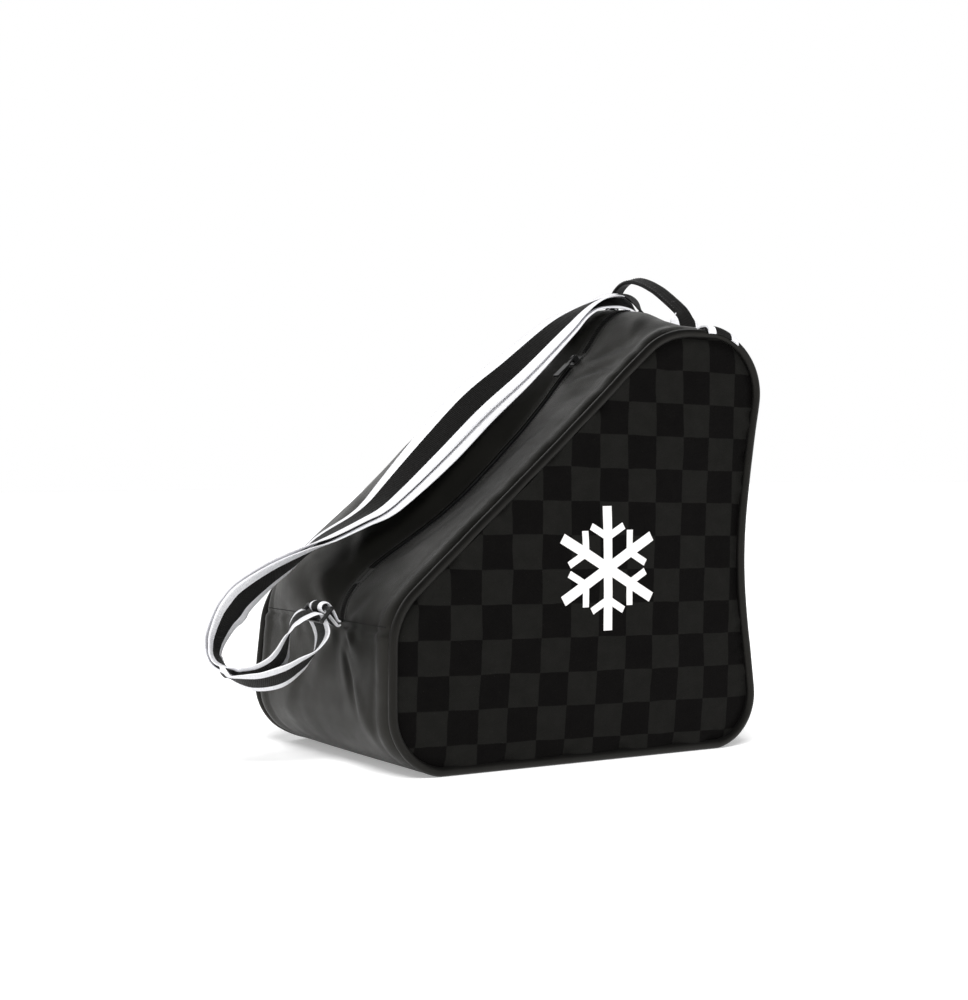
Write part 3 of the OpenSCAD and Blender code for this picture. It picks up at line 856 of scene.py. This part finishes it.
def build_piping(name, side):
    s = np.linspace(0, GIRTH, 520, endpoint=False)
    o = outline_at(s)
    r = PIPING / 2 - 0.1 * MM
    wander = 0.25 * MM * cloth_noise(s * 40, s * 0 + side, 31)
    inset = r - 0.3 * MM - wander - pulled_out(o)
    centre = np.stack([o[:, 0] - o[:, 2] * inset, np.full(len(s), side * (HALF_DEPTH - r)),
                       np.maximum(o[:, 1] - o[:, 3] * inset, r + 0.2 * MM)], axis=-1)
    centre = heel_sag(centre)
    outward = np.stack([o[:, 2], np.zeros(len(s)), o[:, 3]], axis=-1)
    across = np.tile((0.0, float(side), 0.0), (len(s), 1))
    piece = tube(name + "_tube", centre, across if side > 0 else outward,
                 outward if side > 0 else across, r + 0.1 * MM, sides=18, wrap=True)
    dress(piece, "piping_vinyl")
    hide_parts(name)
    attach(piece, "root")


def build_emblem():
    """The printed emblem, laid on the swelling front panel."""
    source = nodes["front_emblem"]
    mesh = source.data.copy()
    obj = link(bpy.data.objects.new("printed_emblem", mesh))
    mesh.transform(source.matrix_world)
    work = bmesh.new()
    work.from_mesh(mesh)
    bmesh.ops.remove_doubles(work, verts=work.verts, dist=1e-6)
    bmesh.ops.triangulate(work, faces=work.faces)
    for _ in range(6):
        long_edges = [e for e in work.edges if e.calc_length() > 5 * MM]
        if not long_edges:
            break
        bmesh.ops.subdivide_edges(work, edges=long_edges, cuts=1)
        bmesh.ops.triangulate(work, faces=work.faces)
    place = np.array([v.co for v in work.verts])
    depth = panel_depth(place[:, 0], place[:, 2], edge_distance(place[:, 0], place[:, 2]))
    front = place[:, 1] < place[:, 1].min() + 0.0002
    for vert, d, is_front in zip(work.verts, depth, front):
        vert.co.y = -PANEL_FACE - d - (0.35 * MM if is_front else -0.2 * MM)
    work.to_mesh(mesh)
    work.free()
    for face in mesh.polygons:
        face.use_smooth = False
    dress(obj, "print_white")
    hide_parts("front_emblem")
    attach(obj, "root")


# ---------------------------------------------------------------- webbing
LAYER_GAP = 3.8 * MM


def smooth_route(route, steps):
    """Catmull-Rom curve through a route; every column is carried along."""
    p = np.array(route, float)
    out = []
    for i in range(len(p) - 1):
        a, b, c, d = p[max(i - 1, 0)], p[i], p[i + 1], p[min(i + 2, len(p) - 1)]
        for f in np.arange(steps) / steps:
            bend = 2 * a - 5 * b + 4 * c - d + f * (3 * b - a - 3 * c + d)
            out.append(b + 0.5 * f * (c - a + f * bend))
    out.append(p[-1])
    return np.array(out)


def route_frames(p):
    """Run direction, width direction and outward direction at each point of a route."""
    run = unit(np.gradient(p[:, :3], axis=0))
    flat = unit(np.array((0, 1, 0)) - run * run[:, 1:2])
    up = np.cross(flat, run)
    lift = np.radians(p[:, 3])[:, None]
    width = flat * np.cos(lift) + up * np.sin(lift)
    return run, width, np.cross(width, run)


def webbing_strip(name, route, thickness=1.7 * MM, steps=10, cols=17, crown=0.3 * MM, seed=1,
                  tuck=None):
    """Flat webbing along a route of x, y, z, lift and width, in millimetres and degrees.

    Beyond the first x of tuck its white edges turn under, fully so from the second."""
    p = smooth_route(route, steps)
    tucked = smoothstep((p[:, :1] - tuck[0]) / (tuck[1] - tuck[0])) if tuck else np.zeros((len(p), 1))
    p[:, :3] *= MM
    p[:, 4] *= MM * (1 - 0.42 * tucked[:, 0])
    _, width, out = route_frames(p)
    across = np.linspace(-0.5, 0.5, cols)
    edge = 1 - np.abs(across * 2) ** 6
    along = distance_along(p[:, :3])
    ripple = 0.25 * MM * cloth_noise(along[:, None] * 30 + 40, across[None, :] * 3 + seed + 5, seed)
    middle = p[:, None, :3] + across[None, :, None] * p[:, None, 4:5] * width[:, None, :]
    middle = middle + out[:, None, :] * (ripple + crown * edge[None, :])[..., None]
    half = (thickness / 2) * (0.45 + 0.55 * edge)[None, :, None] * out[:, None, :]
    ring = np.concatenate([middle + half, (middle - half)[:, ::-1]], axis=1)
    faces = ring_faces(*ring.shape[:2])
    u = 0.5 + np.concatenate([across, across[::-1]]) * (1 - 0.5 * tucked)
    uv = np.stack([u, np.broadcast_to(along[:, None] * 100, u.shape)], axis=-1)
    return make_mesh(name, ring.reshape(-1, 3), faces, uv.reshape(-1, 2))


W = WEBBING / MM
STRAP_RUN = [
    (147.5, 0, 396, 0, W), (147, 0, 404, 32, W), (143, 0, 409.5, 41, W), (134, 0, 414, 31, W),
    (121, 0, 416, 5, W), (106, 0, 413, -6, W), (90, -1, 408, -6, W), (75, 0, 400, 2, W),
    (59, 2, 389, 16, W), (42, 3, 376, 25, W), (3, 3, 345, 38, W), (-38, 4, 314, 48, W),
    (-79, 4, 276, 39, W), (-120, 4, 237, 21, W), (-138, 4, 221, 12, W), (-156, 5, 210, 3, W),
    (-189, 5, 194, -4, W), (-216, 3, 179, -28, W), (-243, 3, 164, -44, W), (-267, 3, 147, -57, W),
    (-276, 3, 137, -61, W), (-284, 4, 127, -55, W), (-293, 5, 108, -45, W), (-294, 1, 94, -32, W),
    (-287, -4, 83, -7, W), (-280, -8, 79, 4, W), (-262, -16, 75, 29, W), (-242, -23, 79, 41, W),
    (-226, -28, 89, 36, W), (-215, -31, 99, 24, W), (-209.5, -32, 110, 12, W),
    (-209, -32, 118, 4, W), (-212.5, -32, 127, 0, W),
]
RETURN_LEG = [
    (-212.8, -32, 127.8, 0, W), (-214.7, -32, 131.8, 0, W), (-219, -32, 133.4, 0, W),
    (-224, -31, 132, -2, W), (-229, -28, 128.5, -8, W), (-233, -26, 123, -19, W),
    (-236, -25, 114, -30, W), (-240, -26, 104, -41, W), (-244, -26, 96, -46, W),
    (-251, -24, 89, -42, W), (-261, -19, 84, -33, W), (-271, -12, 82.5, -20, W),
    (-280, -7, 84.5, -4, W),
]
RETURN_END = [
    (90, -1.5, 403.8, -5, W), (106, -1, 408, -16, W), (119, 0, 410, -27, W),
    (131, 0, 409, -34, W), (139.5, 0, 405, -34, W), (143, 0, 397, -20, W),
]
TAB_RUN = [
    (-193, -32, 124.5, 0, 12), (-196, -32, 125.5, 0, 16), (-202, -32, 135.5, 0, 20),
    (-207.5, -32, 141.2, 0, 23), (-212.6, -32, 140.8, 0, 23), (-214.2, -32, 137.4, 0, 23),
    (-212, -32, 134, 0, 23), (-207.5, -32, 132.8, 0, 22), (-202, -32, 127.5, 0, 19),
    (-196, -32, 121.5, 0, 16), (-193, -32, 122, 0, 12),
]


def return_run():
    """The return layer: up from the ring, then under the strap, slipped a little frontwards."""
    p = np.array(STRAP_RUN, float)
    _, width, out = route_frames(p)
    share = np.clip((120 - p[:, 0]) / 320, 0, 1)
    slip = 8 * np.sin(np.pi * share ** 1.5)
    under = p.copy()
    under[:, :3] -= out * LAYER_GAP / MM + width * slip[:, None]
    under[:, 3] *= -1
    return RETURN_LEG + [tuple(row) for row in under[23:6:-1]] + RETURN_END


def build_strap():
    strap = webbing_strip("strap_webbing", STRAP_RUN, seed=2, tuck=(106, 123))
    dress(strap, "webbing")
    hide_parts("shoulder_strap")
    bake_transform(strap)
    back = webbing_strip("strap_return_webbing", return_run(), seed=4)
    dress(back, "webbing")
    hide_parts("strap_return")
    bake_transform(back)
    tab = webbing_strip("ring_tab_webbing", TAB_RUN, seed=6, cols=13)
    dress(tab, "webbing")
    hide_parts("ring_tab")
    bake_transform(tab)


def build_strap_end():
    """The strap's sewn end, flat on the top of the bag."""
    lo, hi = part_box("strap_end_tab")
    x = np.linspace(lo[0], hi[0], 16)
    y = np.linspace(-W / 2 * MM, W / 2 * MM, 17)
    s = station(3, 0) + x - outline_at(station(3, 0))[0]
    grid_s, grid_y = np.meshgrid(s, y, indexing="ij")
    points = gusset_surface(grid_s, grid_y, 2.2 * MM)
    uv = np.stack(np.meshgrid(x * 100, np.linspace(0, 1, 17), indexing="ij"), axis=-1)[..., ::-1]
    patch = sheet_solid("strap_end_webbing", points, uv, 1.8 * MM)
    dress(patch, "folded_webbing")
    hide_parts("strap_end_tab")
    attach(patch, "root")


# ---------------------------------------------------------------- handle
# Depth and height of the grip's middle line in millimetres, from its front foot to its back foot.
HANDLE_ROUTE = [
    (-70.5, 386.5), (-69.7, 390.5), (-66.6, 396.5), (-60, 401.5), (-52.5, 406.5), (-44.2, 411.5),
    (-35, 417), (-25, 422.5), (-9.5, 429), (0.5, 432.2), (8.5, 434), (14, 434.6),
    (23.5, 434.4), (32.5, 432), (41, 427), (48, 419), (52.5, 409), (55, 400), (56, 394),
]
FOLDED_WIDTH = 0.38
GATHER_START = 112 * MM


def lying_height(y):
    """Height of the flat band on the top of the bag and over its piping."""
    on_cloth = surface_path(np.full(len(y), HANDLE_S), np.clip(y, -SEAM_Y, SEAM_Y), 2.0 * MM)[0][:, 2]
    on_piping = TOP + 4.6 * MM - 0.03 * np.abs(np.abs(y) - HALF_DEPTH + PIPING / 2)
    return np.where(np.abs(y) > SEAM_Y - 7 * MM, np.maximum(on_cloth, on_piping), on_cloth)


def handle_profile(count=170):
    """Side view of the handle: depth, height, distance along, and how far the band is folded."""
    route = np.array(HANDLE_ROUTE) * MM
    over = np.array([(-2.9, -3.0), (-2.3, 1.2), (-0.2, 4.0)]) * MM
    front_y = np.linspace(-HALF_DEPTH + 2.5 * MM, -0.074, 28)
    back_y = np.linspace(0.060, HALF_DEPTH - 2.5 * MM, 32)
    front_z, back_z = (lying_height(side) for side in (front_y, back_y))
    front_y = np.concatenate([over[:, 0] - HALF_DEPTH, front_y])
    front_z = np.concatenate([over[:, 1] + TOP, front_z])
    back_y = np.concatenate([back_y, HALF_DEPTH - over[::-1, 0]])
    back_z = np.concatenate([back_z, over[::-1, 1] + TOP])
    y = np.concatenate([front_y, route[:, 0], back_y])
    z = np.concatenate([front_z, route[:, 1], back_z])
    along = np.concatenate([[0], np.cumsum(np.hypot(np.diff(y), np.diff(z)))])
    feet = along[len(front_y)], along[len(front_y) + len(route) - 1]
    even = np.linspace(0, along[-1], count)
    y, z = np.interp(even, along, y), np.interp(even, along, z)
    for _ in range(3):
        z[1:-1] = (z[:-2] + 2 * z[1:-1] + z[2:]) / 4
        y[1:-1] = (y[:-2] + 2 * y[1:-1] + y[2:]) / 4
    return y, z, even, smoothstep(np.minimum(even - feet[0], feet[1] - even) / 0.022)


def handle_frame():
    """Places along the band with its outward direction and its rolled width direction."""
    y, z, along, folded = handle_profile()
    rows = len(y)
    middle = np.stack([np.full(rows, HANDLE_X), y, z], axis=-1)
    run = unit(np.stack([np.zeros(rows), np.gradient(y), np.gradient(z)], axis=-1))
    out = np.cross(np.tile((-1.0, 0, 0), (rows, 1)), run)
    out = out * np.sign(out[:, 2:3] + 1e-9)
    roll = np.radians(14) * folded[:, None]
    width = np.array((1.0, 0, 0)) * np.cos(roll) + out * np.sin(roll)
    return middle, width, -np.cross(run, width), along, folded


def build_handle():
    """One band: flat at its sewn ends, its white edges folded under for the grip."""
    middle, width, out, along, folded = handle_frame()
    cols = 25
    u = np.linspace(-0.5, 0.5, cols)
    turn = np.abs(u) * 2
    tucked = np.sign(u) * FOLDED_WIDTH / 2 * np.sin(np.pi * np.minimum(turn, 1))
    lie = outline_at(HANDLE_S + u * WEBBING)[:, 1]
    lie = lie - lie[cols // 2]
    share = folded[:, None]
    gather = smoothstep((np.abs(middle[:, 1:2]) - GATHER_START) / 0.014)
    across = ((1 - share) * u + share * tucked) * WEBBING * (1 - 0.12 * gather)
    under = share * -3.4 * MM * smoothstep((turn - 0.35) / 0.3)
    points = middle[:, None] + across[..., None] * width[:, None] + under[..., None] * out[:, None]
    points[..., 0] -= 3 * MM * gather
    points[..., 2] += (1 - share) * lie
    # the tucked edges show only where the band opens flat again
    uv_u = 0.5 + u * (1 - 0.5 * share)
    uv = np.stack([uv_u, np.broadcast_to(along[:, None] * 100, uv_u.shape)], axis=-1)
    band = sheet_solid("handle_webbing", points, uv, 1.5 * MM, outward=-1)
    dress(band, "webbing")
    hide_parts("handle_front_end", "handle_back_end", "handle_grip")
    grip = folded > 0.97
    pieces = [band]
    for name, offset in (("near", -0.14), ("far", 0.14)):
        path = middle[grip] + width[grip] * offset * WEBBING + out[grip] * 0.1 * MM
        pieces.append(stitches(f"handle_{name}_stitches", path, out[grip], pitch=3.6 * MM,
                               length=1.5 * MM, thick=0.3 * MM))
    for k, at in enumerate((0.10, 0.36, 0.64, 0.90)):
        row = np.flatnonzero(grip)[int(at * (grip.sum() - 1))]
        path = middle[row] + np.linspace(-0.06, 0.06, 12)[:, None] * WEBBING * width[row]
        pieces.append(stitches(f"handle_bar_tack_{k + 1}", path + out[row] * 0.1 * MM,
                               np.tile(out[row], (12, 1)), pitch=1.7 * MM, length=0.9 * MM))
    for piece in pieces:
        if piece is not band:
            dress(piece, "thread_grey")
        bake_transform(piece)


# ---------------------------------------------------------------- seams
def build_seams():
    """Stitch rows on the fixed cloth."""
    reach = SEAM_Y - 5 * MM
    rows = {"cross_seam_stitches": (np.full(80, CROSS_SEAM + 3.2 * MM), np.linspace(-reach, reach, 80))}
    low = np.linspace(CROSS_SEAM + 2 * MM, MOUTH_LOW, 40)
    high = np.linspace(MOUTH_HIGH, TOP_START - 4 * MM, 60)
    for side, sign in (("front", -1), ("back", 1)):
        offset = ZIP_Y + sign * STITCH_OFF
        rows[f"{side}_lower_stitches"] = (low, np.full(40, offset))
        rows[f"{side}_upper_stitches"] = (high, np.full(60, offset))
    for name, (s, y) in rows.items():
        path, normals = surface_path(s, y)
        row = stitches(name, path, normals)
        dress(row, "thread_black")
        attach(row, "root")


# ---------------------------------------------------------------- carried-over CAD pieces
def round_edges(node, width, segments=3):
    bevel = nodes[node].modifiers.new("rounded_edges", "BEVEL")
    bevel.width = width
    bevel.segments = segments
    bevel.limit_method = "ANGLE"


def dress_cad_nodes():
    slots = {s["node"]: s["material_slot"] for s in frame["record"]["subparts"]}
    for name, obj in nodes.items():
        if obj.hide_render:
            continue
        obj.data.materials.clear()
        obj.data.materials.append(MATERIALS[slots[name]])
    for name, width in (("zip_slider", 0.35 * MM), ("pull_tab", 0.6 * MM),
                        ("base_board", 1 * MM), ("zip_stops", 0.4 * MM)):
        round_edges(name, width)


# ---------------------------------------------------------------- studio
def build_studio():
    floor = make_mesh("floor", [(-9, -9, 0), (9, -9, 0), (9, 9, 0), (-9, 9, 0)], [(0, 1, 2, 3)])
    shader = Shader("floor")
    shader.main.inputs["Base Color"].default_value = (0.90, 0.90, 0.90, 1)
    shader.main.inputs["Emission Color"].default_value = (1, 1, 1, 1)
    shader.main.inputs["Emission Strength"].default_value = 0.30
    shader.finish(0.9, specular=0.0)
    floor.data.materials.append(shader.material)
    # white all round at eye level, a broad soft light high at the back, dark overhead
    world = bpy.data.worlds.new("studio")
    bpy.context.scene.world = world
    world.use_nodes = True
    tree = world.node_tree

    def add(kind, source=None):
        made = tree.nodes.new(kind)
        if source:
            tree.links.new(source, made.inputs[0])
        return made

    def mix(factor):
        made = add("ShaderNodeMix")
        made.data_type = "RGBA"
        tree.links.new(factor, made.inputs["Factor"])
        return made

    def grey_ramp(source, *stops):
        ramp = add("ShaderNodeValToRGB", source)
        while len(ramp.color_ramp.elements) < len(stops):
            ramp.color_ramp.elements.new(0.5)
        for element, (place, tone) in zip(ramp.color_ramp.elements, stops):
            element.position = place
            element.color = (tone, tone, tone, 1)
        return ramp.outputs[0]

    direction = add("ShaderNodeSeparateXYZ", add("ShaderNodeTexCoord").outputs["Generated"]).outputs
    high = grey_ramp(direction[1], (0.0, 0.20), (0.75, 1.9))
    roof = mix(grey_ramp(direction[2], (0.66, 0.0), (0.84, 1.0)))
    tree.links.new(high, roof.inputs[6])
    roof.inputs[7].default_value = (0.03, 0.03, 0.03, 1)
    sky = mix(grey_ramp(direction[2], (0.25, 0.0), (0.36, 1.0)))
    sky.inputs[6].default_value = (1, 1, 1, 1)
    tree.links.new(roof.outputs[2], sky.inputs[7])
    tree.links.new(sky.outputs[2], tree.nodes["Background"].inputs["Color"])
    tree.nodes["Background"].inputs["Strength"].default_value = 1.0
    data = bpy.data.lights.new("overhead", "SUN")
    data.energy = 3.2
    data.angle = math.radians(30)
    lamp = link(bpy.data.objects.new("overhead", data))
    lamp.location = (-0.8, -1.2, 2)
    lamp.rotation_euler = Vector((0.40, 0.58, -0.85)).to_track_quat("-Z", "Y").to_euler()
    lamp.visible_glossy = False
    bpy.context.scene.view_settings.view_transform = "Standard"


build_gusset()
build_lips()
build_zip()
build_panel("front_panel", -1)
build_panel("back_panel", 1)
build_piping("front_piping", -1)
build_piping("back_piping", 1)
build_emblem()
build_strap()
build_strap_end()
build_handle()
build_seams()
dress_cad_nodes()
build_studio()
